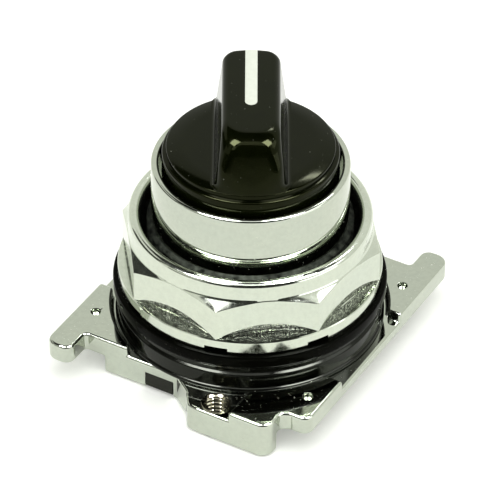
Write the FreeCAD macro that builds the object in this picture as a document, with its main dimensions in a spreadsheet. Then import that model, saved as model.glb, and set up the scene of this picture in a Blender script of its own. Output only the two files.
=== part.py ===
import FreeCAD, Part
import math
import os
import Sketcher

# Rotary selector-switch operator for a 30.5 mm panel hole.
# Millimetres, +Z up along the knob's axis, origin at the centre of the plane that the skirts stand on.
# The base plate repeats after half a turn about Z, so only its front half is dimensioned.

SIZES = {
    # base plate, pads, skirts and ears
    "plate_half": 20.9, "front_line": 19.0, "corner_line": 19.6, "bump_line": 24.0, "ear_tip": 23.4,
    "ear_inner": 16.6, "ear_round": 1.7, "bump_right": 16.7, "jog_left": 1.3, "jog_right": 4.4,
    "plate_bottom": 2.8, "plate_top": 4.5, "pad_top": 5.9, "pad_ring": 20.3,
    "pad_step_left": 9.6, "pad_step_right": 10.2, "pad_side_front": 9.5, "pad_side_rear": 7.8,
    "skirt_wall": 1.6, "skirt_end": 13.5, "window_near": 1.8, "window_far": 6.5,
    # boss, bushing and the cavities on the axis
    "boss_radius": 18.9, "boss_top": 8.2, "boss_round": 0.5, "thread_major": 15.0, "thread_minor": 14.2,
    "thread_pitch": 1.5, "thread_foot": 9.4, "thread_end": 21.6, "collar_radius": 14.3, "collar_top": 31.3,
    "knob_bore": 13.2, "bore_floor": 25.5, "web_bottom": 22.5, "cavity_radius": 12.6, "bush_hole": 5.0,
    # gaskets and nut
    "boot_radius": 19.75, "boot_shoulder": 19.35, "boot_top": 9.1, "boot_gap": 0.05,
    "gasket_radius": 20.0, "gasket_top": 11.2, "gasket_round": 0.35,
    "nut_flange": 19.3, "nut_flange_top": 13.4, "nut_corner": 19.3, "nut_turn": 15.3, "notch_width": 3.4,
    "notch_depth": 0.75, "lens_top": 15.5, "lens_depth": 0.22, "nut_apex": 18.5, "nut_cone_top": 19.6,
    "nut_collar": 17.7, "nut_top": 22.6, "nut_lip": 0.8, "nut_recess": 16.0, "nut_recess_floor": 19.4,
    "nut_bore": 15.05,
    # contact-block screw inserts and the marks beside them
    "insert_x": 6.9, "insert_y": 21.5, "insert_radius": 2.2, "insert_bore": 1.65, "insert_bottom": 0.5,
    "insert_top": 4.75, "dimple_radius": 0.75, "dimple_depth": 0.7, "dimple_front_x": 18.2,
    "dimple_front_y": 15.0, "dimple_rear_x": 17.9, "dimple_rear_y": 14.0,
    # knob
    "rest_turn": 29.8, "knob_radius": 12.7, "knob_rim": 12.1, "knob_bottom": 27.0, "knob_shoulder": 33.2,
    "knob_disc_top": 34.4, "knob_top": 42.3, "grip_foot_half": 5.1, "grip_top_half": 4.05, "grip_back": 12.2,
    "grip_front_foot": 12.55, "grip_front_top": 10.4, "knob_wall": 1.6, "hub_radius": 5.5,
    "hub_bottom": 28.0,
    "knob_roof": 32.2, "line_width": 1.8, "line_depth": 1.0, "line_front": 1.7, "socket_half": 2.5,
    "socket_top": 37.5,
    # shaft, bush, seal, retaining ring and screw
    "shaft_radius": 3.5, "shaft_bottom": 9.0, "shaft_square": 27.8, "shaft_top": 37.3, "shaft_gap": 0.05,
    "bush_flange": 6.2, "bush_top": 26.2, "seal_top": 27.2, "washer_top": 27.6, "ring_bottom": 21.75,
    "ring_top": 22.35, "ring_outer": 5.0, "ring_groove": 2.9, "screw_radius": 1.5, "screw_bottom": 7.2,
    "screw_head": 2.75, "screw_head_top": 8.9, "screw_top": 40.0,
    # cam rotor, pin, detent and stops
    "cam_radius": 11.3, "cam_mid": 11.0, "cam_tilt": 14.0, "cam_top": 14.6, "carrier_radius": 8.2,
    "carrier_top": 19.0, "hub_top": 21.5, "cam_hub": 5.4, "dog_reach": 11.4, "dog_width": 4.0,
    "dog_bottom": 19.2, "pin_radius": 1.0, "pin_half": 5.2, "pin_height": 20.35,
    "detent_bottom": 14.8, "detent_inner": 9.5, "detent_outer": 12.55, "detent_pocket": 1.9,
    "ball_radius": 1.6, "ball_height": 16.9, "ball_centre": 7.55, "detent_wire": 0.25, "detent_coil": 1.1,
    "stop_radius": 1.0, "stop_circle": 10.4, "stop_bottom": 19.4,
    # plungers, their springs and the guide
    "plunger_circle": 8.5, "plunger_radius": 2.0, "plunger_bore": 2.05, "plunger_bottom": 0.5,
    "plunger_collar": 3.1, "plunger_collar_low": 6.3, "plunger_collar_thick": 0.8, "plunger_play": 0.05,
    "guide_bottom": 0.5, "guide_flange_top": 2.75, "guide_top": 3.4, "guide_half_x": 13.0,
    "guide_half_y": 17.1, "guide_plug": 12.5, "guide_gap": 0.1, "spring_wire": 0.22, "spring_coil": 2.6,
    "fixing_x": 10.5, "fixing_y": 14.0, "fixing_radius": 1.0, "fixing_head": 1.9, "fixing_head_thick": 0.9,
    "fixing_length": 4.6, "fixing_base": 0.05, "fixing_slot": 0.5, "fixing_slot_depth": 0.3,
}
THROW = 60.0            # degrees between the two knob positions
CAST_ROUND = 0.45       # rounding of the plate's cast edges
BACK_CORNER = 1.8       # the grip's upright corners at the back
NOSE_ROUND = 3.0        # the crest of the grip's sloping front
GRIP_ROUND = 0.9
COIL_TURNS = 3

doc = FreeCAD.newDocument("rotary_switch_operator")
sheet = doc.addObject("Spreadsheet::Sheet", "Sizes")
for row, (alias, amount) in enumerate(SIZES.items(), start=1):
    sheet.set(f"A{row}", alias)
    sheet.set(f"B{row}", str(amount))
    sheet.setAlias(f"B{row}", alias)
doc.recompute()

parts = []


def size(alias):
    return float(getattr(sheet, alias))


def number(terms):
    """Value of a sum of aliases and plain numbers, such as 'pad_top - plate_top'."""
    total, sign = 0.0, 1.0
    for word in terms.split():
        if word in "+-":
            sign = -1.0 if word == "-" else 1.0
            continue
        amount = float(word) if word[0].isdigit() else size(word)
        total += sign * amount
        sign = 1.0
    return total


def formula(terms):
    """The same sum as an expression that reads the sheet."""
    words = [w if w in "+-" or w[0].isdigit() else f"Sizes.{w}" for w in terms.split()]
    return " ".join(words)


def bind(item, **terms):
    for name, sum_of in terms.items():
        item.setExpression(name.replace("__", "."), formula(sum_of))


def finish(item, node):
    item.Label = node
    parts.append(item)
    return item


# ---------- Part primitives and booleans ----------

def place(item, x="0", y="0", z="0"):
    bind(item, Placement__Base__x=x, Placement__Base__y=y, Placement__Base__z=z)
    return item


def span(bottom, top):
    """The distance from one height up to another, as a sum."""
    below = opposite(bottom)
    return f"{top} {below}" if below[0] in "+-" else f"{top} + {below}"


def cylinder(name, radius, bottom, top, x="0", y="0"):
    item = doc.addObject("Part::Cylinder", name)
    bind(item, Radius=radius, Height=span(bottom, top))
    return place(item, x, y, bottom)


def cut(name, base, *tools):
    for index, tool in enumerate(tools):
        step = doc.addObject("Part::Cut", f"{name}_cut{index}")
        step.Base = base
        step.Tool = tool
        base = step
    return base


def fuse(name, *shapes):
    item = doc.addObject("Part::MultiFuse", name)
    item.Shapes = list(shapes)
    return item


def group(name, *shapes):
    item = doc.addObject("Part::Compound", name)
    item.Links = list(shapes)
    return item


def ring(name, outer, inner, bottom, top):
    blank = cylinder(f"{name}_outer", outer, bottom, top)
    return cut(name, blank, cylinder(f"{name}_hole", inner, bottom, top))


def turned(item, degrees):
    """Turns a finished sub-part about the Z axis."""
    item.Placement = FreeCAD.Placement(FreeCAD.Vector(), FreeCAD.Rotation(FreeCAD.Vector(0, 0, 1), degrees))
    return item


# ---------- PartDesign bodies with bound sketches ----------

def new_body(name):
    return doc.addObject("PartDesign::Body", name)


def base_plane(body, role):
    return next(item for item in body.Origin.OriginFeatures if item.Role == role)


def sketch_on(body, name, role, height="0"):
    sketch = body.newObject("Sketcher::SketchObject", name)
    sketch.AttachmentSupport = (base_plane(body, role), [""])
    sketch.MapMode = "FlatFace"
    if height != "0":
        sketch.setExpression("AttachmentOffset.Base.z", formula(height))
    return sketch


def hold_point(sketch, line, across, along):
    """Ties the first point of a line to the sheet, across and along from the sketch's origin."""
    for kind, terms in (("DistanceX", across), ("DistanceY", along)):
        amount = number(terms)
        if abs(amount) < 1e-9:
            axis = -2 if kind == "DistanceX" else -1
            sketch.addConstraint(Sketcher.Constraint("PointOnObject", line, 1, axis))
            continue
        index = sketch.addConstraint(Sketcher.Constraint(kind, -1, 1, line, 1, amount))
        sketch.setExpression(f"Constraints[{index}]", formula(terms))


def outline(sketch, corners):
    """A closed polygon whose corners are pairs of sums of sheet values."""
    points = [FreeCAD.Vector(number(x), number(y), 0) for x, y in corners]
    first = sketch.GeometryCount
    count = len(points)
    for index, point in enumerate(points):
        sketch.addGeometry(Part.LineSegment(point, points[(index + 1) % count]), False)
    for index, (across, along) in enumerate(corners):
        before = first + (index - 1) % count
        sketch.addConstraint(Sketcher.Constraint("Coincident", before, 2, first + index, 1))
        hold_point(sketch, first + index, across, along)


def circle(sketch, radius, x="0", y="0"):
    centre = FreeCAD.Vector(number(x), number(y), 0)
    index = sketch.addGeometry(Part.Circle(centre, FreeCAD.Vector(0, 0, 1), number(radius)), False)
    for kind, terms in (("DistanceX", x), ("DistanceY", y)):
        if abs(number(terms)) < 1e-9:
            axis = -2 if kind == "DistanceX" else -1
            sketch.addConstraint(Sketcher.Constraint("PointOnObject", index, 3, axis))
            continue
        held = sketch.addConstraint(Sketcher.Constraint(kind, -1, 1, index, 3, number(terms)))
        sketch.setExpression(f"Constraints[{held}]", formula(terms))
    held = sketch.addConstraint(Sketcher.Constraint("Radius", index, number(radius)))
    sketch.setExpression(f"Constraints[{held}]", formula(radius))


def feature(body, kind, name, sketch, **settings):
    item = body.newObject(f"PartDesign::{kind}", name)
    item.Profile = sketch
    for key, amount in settings.items():
        setattr(item, key, amount)
    sketch.Visibility = False
    return item


def pad(body, name, sketch, length):
    item = feature(body, "Pad", name, sketch)
    item.setExpression("Length", formula(length))
    return item


def pocket(body, name, sketch, length, upward=False):
    item = feature(body, "Pocket", name, sketch, Reversed=upward)
    before = body.Tip.Shape.Volume if body.Tip and not body.Tip.Shape.isNull() else 0
    item.setExpression("Length", formula(length))
    doc.recompute()
    assert item.Shape.Volume < before or before == 0, f"{name} removes nothing"
    return item


def revolve(body, name, corners, removes=False):
    """Turns an outline in the X-Z plane a full turn about Z; corners are (radius, height)."""
    sketch = sketch_on(body, f"{name}_profile", "XZ_Plane")
    outline(sketch, corners)
    item = feature(body, "Groove" if removes else "Revolution", name, sketch, Angle=360.0)
    item.ReferenceAxis = (sketch, ["V_Axis"])
    return item


def dress(body, name, kind, amount, chosen):
    """Rounds or bevels the edges of the body that chosen(edge) picks."""
    doc.recompute()
    base = body.Tip
    names = [f"Edge{i}" for i, edge in enumerate(base.Shape.Edges, start=1) if chosen(edge)]
    assert names, f"{name} finds no edge"
    item = body.newObject(f"PartDesign::{kind}", name)
    item.Base = (base, names)
    setattr(item, "Radius" if kind == "Fillet" else "Size", amount)
    doc.recompute()
    assert not item.Shape.isNull() and item.Shape.isValid(), f"{name} fails on {names}"
    return item


def is_circle(edge, radius, height):
    curve = edge.Curve
    if not isinstance(curve, Part.Circle):
        return False
    return abs(curve.Radius - radius) < 1e-3 and abs(edge.BoundBox.ZMin - height) < 1e-3


# ---------- operator housing ----------

def half_outline():
    """Front half of the plate, from the left ear to the right side, going left to right."""
    jog = [("- jog_left", "- front_line"), ("- jog_left + 0.9", "- front_line - 0.3"),
           ("- jog_left + 1.9", "- front_line - 1.3"), ("jog_right - 1.9", "- bump_line + 1.3"),
           ("jog_right - 0.9", "- bump_line + 0.3"), ("jog_right", "- bump_line")]
    return [("- plate_half", "- ear_tip + ear_round"), ("- plate_half + 0.5", "- ear_tip + 0.5"),
            ("- plate_half + ear_round", "- ear_tip"), ("- ear_inner - 1.2", "- ear_tip"),
            ("- ear_inner - 0.35", "- ear_tip + 0.35"), ("- ear_inner", "- ear_tip + 1.2"),
            ("- ear_inner", "- front_line - 0.4"), ("- ear_inner + 0.4", "- front_line")] + jog + [
            ("bump_right - 1.8", "- bump_line"), ("bump_right - 0.9", "- bump_line + 0.24"),
            ("bump_right - 0.24", "- bump_line + 0.9"), ("bump_right", "- bump_line + 1.8"),
            ("bump_right", "- corner_line - 1.1"), ("bump_right + 0.3", "- corner_line - 0.3"),
            ("bump_right + 1.1", "- corner_line"), ("plate_half - 1.6", "- corner_line"),
            ("plate_half - 0.8", "- corner_line + 0.2"), ("plate_half - 0.2", "- corner_line + 0.8"),
            ("plate_half", "- corner_line + 1.6")]


def opposite(terms):
    """Changes the sign of a whole sum."""
    words = terms.split()
    if words[0] not in "+-":
        words.insert(0, "+")
    swapped = [{"+": "-", "-": "+"}.get(word, word) for word in words]
    return " ".join(swapped[1:] if swapped[0] == "+" else swapped)


def both_halves(corners):
    return corners + [(opposite(x), opposite(y)) for x, y in corners]


def lowered_cross():
    """The lower level between the four pads, run out past the plate's sides."""
    return both_halves([
        ("- plate_half - 4", "- pad_side_rear"), ("- pad_step_left", "- pad_side_rear"),
        ("- pad_step_left", "- bump_line - 4"), ("pad_step_right", "- bump_line - 4"),
        ("pad_step_right", "- pad_side_front"), ("plate_half + 4", "- pad_side_front")])


def skirt_hollow():
    """Everything under the plate except the front and rear skirts."""
    return both_halves([
        ("- plate_half - 4", "- bump_line - 4"), ("- skirt_end", "- bump_line - 4"),
        ("- skirt_end", "- front_line + skirt_wall"), ("insert_x + 3.6", "- front_line + skirt_wall"),
        ("insert_x + 3.6", "- bump_line + skirt_wall"),
        ("bump_right - skirt_wall", "- bump_line + skirt_wall"),
        ("bump_right - skirt_wall", "- corner_line - 1.4"), ("plate_half + 4", "- corner_line - 1.4")])


def window(sign):
    near, far = ("- window_near", "- window_far")
    low, high = ("- front_line - 1", "- front_line + skirt_wall + 1")
    corners = [(far, low), (near, low), (near, high), (far, high)]
    return corners if sign > 0 else [(opposite(x), opposite(y)) for x, y in corners]


def housing():
    body = new_body("Housing")
    blank = sketch_on(body, "plate_outline", "XY_Plane")
    outline(blank, both_halves(half_outline()))
    pad(body, "plate_blank", blank, "pad_top")
    lower = sketch_on(body, "lower_level", "XY_Plane", "pad_top")
    outline(lower, lowered_cross())
    doc.recompute()
    pocket(body, "level_cut", lower, "pad_top - plate_top")
    round_cut = sketch_on(body, "pad_ring_outline", "XY_Plane", "pad_top")
    circle(round_cut, "pad_ring")
    pocket(body, "pad_ring_cut", round_cut, "pad_top - plate_top")
    under = sketch_on(body, "underside_outline", "XY_Plane")
    outline(under, skirt_hollow())
    pocket(body, "underside_cut", under, "plate_bottom", upward=True)
    notches = sketch_on(body, "window_outline", "XY_Plane")
    for sign in (1, -1):
        outline(notches, window(sign))
    pocket(body, "window_cut", notches, "plate_bottom", upward=True)
    revolve(body, "bushing", [
        ("cavity_radius", "plate_bottom"), ("boss_radius", "plate_bottom"), ("boss_radius", "boss_top"),
        ("thread_major", "boss_top"), ("thread_major", "thread_end - 0.5"),
        ("collar_radius", "thread_end"), ("collar_radius", "collar_top"),
        ("knob_bore", "collar_top"), ("knob_bore", "bore_floor"), ("bush_hole", "bore_floor"),
        ("bush_hole", "web_bottom"), ("cavity_radius", "web_bottom")])
    doc.recompute()
    bore = sketch_on(body, "cavity_outline", "XY_Plane")
    circle(bore, "cavity_radius")
    pocket(body, "cavity_cut", bore, "web_bottom", upward=True)
    thread = revolve(body, "thread_groove", [
        ("thread_major + 0.1", "thread_foot"), ("thread_major + 0.1", "thread_foot + 1.2"),
        ("thread_minor", "thread_foot + 0.65"), ("thread_minor", "thread_foot + 0.55")], removes=True)
    doc.recompute()
    turns = body.newObject("PartDesign::LinearPattern", "thread_turns")
    turns.Originals = [thread]
    turns.Direction = (base_plane(body, "Z_Axis"), [""])
    turns.Occurrences = 8
    turns.setExpression("Length", "Sizes.thread_pitch * 7")
    body.Tip = turns
    doc.recompute()
    holes = sketch_on(body, "insert_outline", "XY_Plane")
    circle(holes, "insert_radius", "insert_x", "- insert_y")
    circle(holes, "insert_radius", "- insert_x", "insert_y")
    pocket(body, "insert_holes", holes, "pad_top", upward=True)
    marks = sketch_on(body, "dimple_outline", "XY_Plane", "pad_top")
    for x, y in (("dimple_front_x", "dimple_front_y"), ("dimple_rear_x", "dimple_rear_y")):
        circle(marks, "dimple_radius", x, f"- {y}" if x == "dimple_front_x" else y)
        circle(marks, "dimple_radius", f"- {x}", y if x == "dimple_front_x" else f"- {y}")
    pocket(body, "dimples", marks, "dimple_depth")
    screws = sketch_on(body, "fixing_outline", "XY_Plane", "plate_bottom")
    for x in ("fixing_x", "- fixing_x"):
        for y in ("fixing_y", "- fixing_y"):
            circle(screws, "fixing_radius", x, y)
    pocket(body, "fixing_holes", screws, "fixing_length - fixing_head_thick - 0.8", upward=True)
    rims = [("collar_radius", "collar_top", 0.4), ("knob_bore", "collar_top", 0.35),
            ("boss_radius", "boss_top", size("boss_round"))]
    for index, (radius, height, amount) in enumerate(rims):
        dress(body, f"rim_{index}", "Fillet", amount,
              lambda edge, r=radius, z=height: is_circle(edge, size(r), size(z)))
    dress(body, "pad_edges", "Fillet", CAST_ROUND,
          lambda edge: abs(edge.BoundBox.ZMin - size("pad_top")) < 1e-3
          and abs(edge.BoundBox.ZMax - size("pad_top")) < 1e-3
          and not (isinstance(edge.Curve, Part.Circle) and edge.Curve.Radius < 1))
    return finish(body, "operator_housing")


# ---------- sealing and clamping ----------

def gaskets():
    """A rubber boot that caps the boss, and the flat gasket that seals against the panel."""
    boot = new_body("Boot")
    revolve(boot, "boot_profile", [
        ("thread_major", "boss_top"), ("boss_radius + boot_gap", "boss_top"),
        ("boss_radius + boot_gap", "plate_top + boot_gap"), ("boot_radius", "plate_top + boot_gap"),
        ("boot_radius", "boot_top - 1.6"), ("boot_shoulder", "boot_top - 1.2"),
        ("boot_shoulder", "boot_top - 0.7"), ("boot_radius - 0.15", "boot_top - 0.45"),
        ("boot_radius - 0.15", "boot_top"), ("thread_major", "boot_top")])
    finish(boot, "boss_boot")
    body = new_body("PanelGasket")
    revolve(body, "gasket_ring", [("thread_major", "boot_top"), ("gasket_radius", "boot_top"),
                                  ("gasket_radius", "gasket_top"), ("thread_major", "gasket_top")])
    rims = [(size("gasket_radius"), size("gasket_top")), (size("gasket_radius"), size("boot_top"))]
    dress(body, "gasket_edges", "Fillet", size("gasket_round"),
          lambda edge: any(is_circle(edge, *rim) for rim in rims))
    finish(body, "panel_gasket")


def mounting_nut():
    body = new_body("NutTurning")
    revolve(body, "nut_ring", [
        ("nut_bore", "gasket_top"), ("nut_flange", "gasket_top"), ("nut_flange", "nut_apex"),
        ("nut_collar + 0.35", "nut_cone_top - 0.15"), ("nut_collar", "nut_cone_top + 0.25"),
        ("nut_collar", "nut_top"), ("nut_recess", "nut_top"), ("nut_recess", "nut_recess_floor"),
        ("nut_bore", "nut_recess_floor - 0.9")])
    for name in ("nut_collar", "nut_recess"):
        dress(body, f"{name}_lip", "Fillet", size("nut_lip"),
              lambda edge, alias=name: is_circle(edge, size(alias), size("nut_top")))

    octagon = doc.addObject("Part::Prism", "NutOctagon")
    octagon.Polygon = 8
    bind(octagon, Circumradius="nut_corner", Height="nut_top - nut_flange_top + 1")
    octagon.Placement.Rotation = FreeCAD.Rotation(FreeCAD.Vector(0, 0, 1), size("nut_turn"))
    octagon.setExpression("Placement.Base.z", "Sizes.nut_flange_top")
    flange = cylinder("NutFlange", "nut_flange + 1", "gasket_top - 1", "nut_flange_top")
    room = fuse("NutRoom", octagon, flange)
    blank = doc.addObject("Part::Common", "NutBlank")
    blank.Base = body
    blank.Tool = room

    cone = doc.addObject("Part::Cone", "LensCone")
    cone.setExpression("Radius1", "Sizes.nut_corner")
    cone.setExpression("Radius2", "Sizes.nut_corner * cos(22.5) - 0.02")
    bind(cone, Height="lens_top - nut_flange_top", Placement__Base__z="nut_flange_top")
    core = doc.addObject("Part::Prism", "LensCore")
    core.Polygon = 8
    core.setExpression("Circumradius", "Sizes.nut_corner - Sizes.lens_depth / cos(22.5)")
    bind(core, Height="nut_top - gasket_top")
    core.Placement.Rotation = octagon.Placement.Rotation
    core.setExpression("Placement.Base.z", "Sizes.gasket_top")
    lenses = cut("NutLens", cone, core)

    teeth = []
    for index in range(8):
        tooth = doc.addObject("Part::Box", f"NutNotch{index}")
        bind(tooth, Width="notch_width", Height="notch_depth + 1")
        tooth.Length = 8
        turn = FreeCAD.Rotation(FreeCAD.Vector(0, 0, 1), size("nut_turn") + 45.0 * index)
        corner = FreeCAD.Vector(size("nut_bore") + 1.2, -size("notch_width") / 2, 0)
        tooth.Placement = FreeCAD.Placement(turn.multVec(corner), turn)
        tooth.setExpression("Placement.Base.z", "Sizes.gasket_top - 1")
        teeth.append(tooth)
    finish(cut("Nut", blank, lenses, fuse("NutNotches", *teeth)), "mounting_nut")


def inserts():
    bushes = []
    for index, sign in enumerate(("", "- ")):
        x, y = f"{sign}insert_x", f"{'' if sign else '- '}insert_y"
        outer = cylinder(f"insert_outer{index}", "insert_radius", "insert_bottom", "insert_top", x, y)
        hole = cylinder(f"insert_hole{index}", "insert_bore", "insert_bottom", "insert_top", x, y)
        bushes.append(cut(f"insert{index}", outer, hole))
    finish(group("Inserts", *bushes), "threaded_inserts")


# ---------- knob and shaft ----------

def knob():
    """A round disc under a bar grip whose two ends run flush down to the disc's shoulder."""
    disc = new_body("KnobDisc")
    revolve(disc, "knob_disc", [
        ("0", "hub_bottom"), ("hub_radius", "hub_bottom"), ("hub_radius", "knob_roof"),
        ("knob_radius - knob_wall", "knob_roof"), ("knob_radius - knob_wall", "knob_bottom"),
        ("knob_radius", "knob_bottom"), ("knob_radius", "knob_shoulder"),
        ("knob_rim", "knob_shoulder + 0.15"), ("knob_rim", "knob_disc_top"), ("0", "knob_disc_top")])
    dress(disc, "disc_round", "Fillet", GRIP_ROUND,
          lambda edge: is_circle(edge, size("knob_rim"), size("knob_disc_top")))
    grip = new_body("KnobGrip")
    grip_loft(grip, "grip", [("knob_shoulder + 0.2", "grip_foot_half", "grip_front_foot"),
                             ("knob_top", "grip_top_half", "grip_front_top")])
    grip_trim(grip, "grip_trim", "knob_shoulder + 0.1", "knob_top + 2")
    round_grip(grip)
    flare = new_body("GripFlare")
    levels = [("- 1", 0.62), ("+ 0", 0.62), ("+ 0.12", 0.4), ("+ 0.4", 0.12), ("+ 0.9", 0.0)]
    grip_loft(flare, "grip_flare", [
        (f"knob_disc_top {rise}", f"grip_foot_half + {spread}", "grip_front_foot")
        for rise, spread in levels])
    grip_trim(flare, "flare_trim", "knob_shoulder", "knob_disc_top + 1")
    socket = doc.addObject("Part::Box", "ShaftSocket")
    bind(socket, Length="socket_half + socket_half", Width="socket_half + socket_half",
         Height="socket_top - hub_bottom")
    place(socket, "- socket_half", "- socket_half", "hub_bottom")
    tapped = cylinder("TappedHole", "screw_radius", "hub_bottom", "screw_top")
    slot = line_bar("LineSlot", "line_depth + 1")
    item = cut("KnobSolid", fuse("KnobBlank", disc, grip, flare), socket, tapped, slot)
    return finish(turned(item, size("rest_turn")), "knob")


def grip_loft(body, name, levels):
    """The bar grip, lofted through rectangles: (height, half width, reach of the front end)."""
    sections = []
    for index, (height, half, front) in enumerate(levels):
        section = sketch_on(body, f"{name}_level{index}", "XY_Plane", height)
        outline(section, [(opposite(half), opposite(front)), (half, opposite(front)), (half, "grip_back"),
                          (opposite(half), "grip_back")])
        sections.append(section)
    doc.recompute()
    loft = body.newObject("PartDesign::AdditiveLoft", name)
    loft.Profile = sections[0]
    loft.Sections = sections[1:]
    loft.Ruled = True
    doc.recompute()


def grip_trim(body, name, bottom, top):
    """Rounds the grip's two ends to the disc."""
    revolve(body, name, [("knob_rim - 0.05", bottom), ("knob_rim + 9", bottom),
                         ("knob_rim + 9", top), ("knob_rim - 0.05", top)], removes=True)
    doc.recompute()


def line_outline():
    """The indicator line: from the back of the grip to a rounded front end."""
    half = size("line_width") / 2
    return [(f"- {half}", "- line_front + 0.9"), (f"- {half * 0.7:.3f}", "- line_front + 0.27"),
            ("0", "- line_front"), (f"{half * 0.7:.3f}", "- line_front + 0.27"),
            (f"{half}", "- line_front + 0.9"), (f"{half}", "knob_rim + 1"), (f"- {half}", "knob_rim + 1")]


def line_bar(name, height):
    body = new_body(name)
    sketch = sketch_on(body, f"{name}_outline", "XY_Plane", "knob_top - line_depth")
    outline(sketch, line_outline())
    pad(body, f"{name}_bar", sketch, height)
    doc.recompute()
    return body


def round_grip(body):
    top = size("knob_top")

    def on_top(edge):
        box = edge.BoundBox
        return abs(box.ZMin - top) < 1e-3 and abs(box.ZMax - top) < 1e-3

    def nose(edge):
        box = edge.BoundBox
        return on_top(edge) and box.YLength < 1e-3 and box.YMax < 0

    def upright(edge):
        return edge.BoundBox.ZLength > 3

    dress(body, "back_corners", "Fillet", BACK_CORNER, lambda edge: upright(edge) and edge.BoundBox.YMin > 0)
    dress(body, "nose_round", "Fillet", NOSE_ROUND, nose)
    dress(body, "grip_edges", "Fillet", GRIP_ROUND,
          lambda edge: (on_top(edge) and edge.BoundBox.YLength > 5)
          or (upright(edge) and edge.BoundBox.YMax < 0))


def indicator():
    body = line_bar("IndicatorInsert", "line_depth + 0.06")
    revolve(body, "line_trim", [
        ("knob_rim - 0.2", "knob_disc_top"), ("knob_rim + 9", "knob_disc_top"),
        ("knob_rim + 9", "knob_top + 2"), ("knob_rim - 0.2", "knob_top + 2")], removes=True)
    turned(body, size("rest_turn"))
    finish(body, "indicator_insert")


def shaft():
    body = new_body("Shaft")
    revolve(body, "shaft_turning", [
        ("screw_radius + 0.1", "shaft_bottom"), ("shaft_radius", "shaft_bottom"),
        ("shaft_radius", "ring_bottom"), ("ring_groove", "ring_bottom"), ("ring_groove", "ring_top"),
        ("shaft_radius", "ring_top"), ("shaft_radius", "shaft_top"), ("screw_radius + 0.1", "shaft_top")])
    flats = sketch_on(body, "square_outline", "XY_Plane", "shaft_square")
    circle(flats, "shaft_radius + 1")
    near, far = "- socket_half + shaft_gap", "socket_half - shaft_gap"
    outline(flats, [(near, near), (far, near), (far, far), (near, far)])
    pocket(body, "square_end", flats, "shaft_top - shaft_square + 1", upward=True)
    turned(body, size("rest_turn"))
    finish(cut("shaft_drilled", body, pin_solids("shaft_pin_holes")), "rotor_shaft")


def shaft_hardware():
    running = "shaft_radius + shaft_gap"
    bush = new_body("Bush")
    revolve(bush, "bush_turning", [
        (running, "web_bottom"), ("bush_hole", "web_bottom"), ("bush_hole", "bore_floor"),
        ("bush_flange", "bore_floor"), ("bush_flange", "bush_top"), (running, "bush_top")])
    finish(bush, "shaft_bush")
    finish(ring("seal", "bush_flange", running, "bush_top", "seal_top"), "shaft_seal")
    finish(ring("washer", "bush_flange", running, "seal_top", "washer_top"), "seal_washer")
    clip = ring("clip", "ring_outer", "ring_groove", "ring_bottom", "ring_top")
    gap = doc.addObject("Part::Box", "clip_gap")
    gap.Length = 6
    gap.Width = 4
    gap.Height = 2
    gap.setExpression("Placement.Base.z", "Sizes.ring_bottom - 0.5")
    gap.setExpression("Placement.Base.y", "-2")
    finish(cut("clip_open", clip, gap), "retaining_ring")
    screw = new_body("KnobScrew")
    revolve(screw, "screw_turning", [
        ("0", "screw_bottom"), ("screw_head", "screw_bottom"), ("screw_head", "screw_head_top"),
        ("screw_radius", "screw_head_top"), ("screw_radius", "screw_top - 0.2"), ("0", "screw_top - 0.2")])
    slot = sketch_on(screw, "driver_slot", "XY_Plane", "screw_bottom")
    outline(slot, [("- screw_head - 0.5", "- 0.35"), ("screw_head + 0.5", "- 0.35"),
                   ("screw_head + 0.5", "0.35"), ("- screw_head - 0.5", "0.35")])
    pocket(screw, "driver_cut", slot, "0.8", upward=True)
    finish(screw, "knob_screw")


# ---------- cam rotor, detent and stops ----------

def low_side():
    """Direction of the cam's lowest point at rest: a sixth of a turn short of the left plunger."""
    return 180.0 - THROW


def cam_rotor():
    drum = cylinder("cam_drum", "cam_radius", "plate_top + 2", "cam_top")
    carrier = cylinder("cam_carrier", "carrier_radius", "cam_top", "carrier_top")
    hub = cylinder("cam_hub_turning", "cam_hub", "carrier_top", "hub_top")
    dog = doc.addObject("Part::Box", "stop_dog")
    bind(dog, Length="dog_reach", Width="dog_width", Height="hub_top - dog_bottom")
    turn = FreeCAD.Rotation(FreeCAD.Vector(0, 0, 1), dog_angle())
    offset = turn.multVec(FreeCAD.Vector(0, -size("dog_width") / 2, 0))
    dog.Placement = FreeCAD.Placement(offset, turn)
    dog.setExpression("Placement.Base.z", "Sizes.dog_bottom")
    solid = fuse("cam_solid", drum, carrier, hub, dog)

    below = doc.addObject("Part::Box", "cam_underside")
    below.Length, below.Width, below.Height = 40, 40, 12
    heading = FreeCAD.Rotation(FreeCAD.Vector(0, 0, 1), low_side())
    tilt = FreeCAD.Rotation(FreeCAD.Vector(0, 1, 0), size("cam_tilt"))
    attitude = heading.multiply(tilt)
    corner = attitude.multVec(FreeCAD.Vector(-20, -20, -12)) + FreeCAD.Vector(0, 0, size("cam_mid"))
    below.Placement = FreeCAD.Placement(corner, attitude)
    shaft_hole = cylinder("cam_bore", "shaft_radius", "plate_top", "hub_top + 1")
    ball_hole = doc.addObject("Part::Cylinder", "ball_hole")
    bind(ball_hole, Radius="ball_radius + 0.02")
    ball_hole.Height = 30
    across = FreeCAD.Rotation(FreeCAD.Vector(0, 0, 1), ball_angle()).multiply(
        FreeCAD.Rotation(FreeCAD.Vector(0, 1, 0), 90))
    start = across.multVec(FreeCAD.Vector(0, 0, -15)) + FreeCAD.Vector(0, 0, size("ball_height"))
    ball_hole.Placement = FreeCAD.Placement(start, across)
    finish(cut("cam", solid, below, shaft_hole, ball_hole, pin_solids("cam_pin_holes")), "swash_cam")


def dog_angle():
    return size("rest_turn") + 90.0


def ball_angle():
    return size("rest_turn")


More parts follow.
